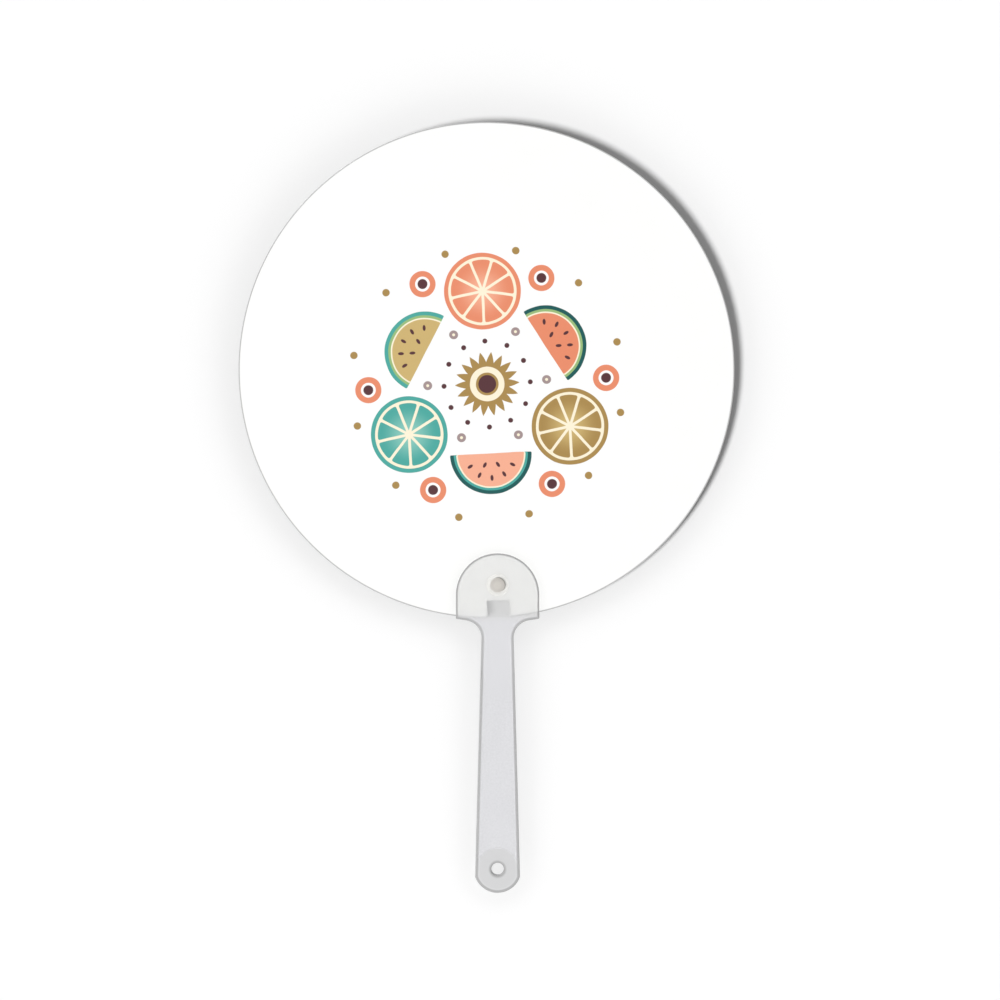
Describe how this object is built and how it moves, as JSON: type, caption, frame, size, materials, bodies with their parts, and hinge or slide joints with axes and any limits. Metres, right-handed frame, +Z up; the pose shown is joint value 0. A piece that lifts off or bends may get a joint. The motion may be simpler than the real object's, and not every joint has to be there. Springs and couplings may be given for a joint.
{
  "type": "round hand fan",
  "caption": "Round hand fan: a thin flat disc held by a snap rivet and a key in the slotted head of a tapered, frosted plastic handle with a hanging hole.",
  "frame": {"origin": "middle of the hand grip, on the handle's centre line and at half its thickness", "axes": "+Z runs up the handle towards the disc, -Y is the printed front, +X is to the right seen from the front"},
  "size_m": [0.2, 0.0042, 0.3108],
  "materials": {
    "frosted_plastic": "translucent, unpigmented, frosted and fine-grained on the grip",
    "printed_sheet": "smooth white sheet with a printed design",
    "rivet_plastic": "natural greyish beige, satin"
  },
  "bodies": {
    "root": {"handle": "frosted_plastic", "fan_disc": "printed_sheet", "rivet_stud": "rivet_plastic", "rivet_socket": "rivet_plastic"}
  },
  "joints": []
}
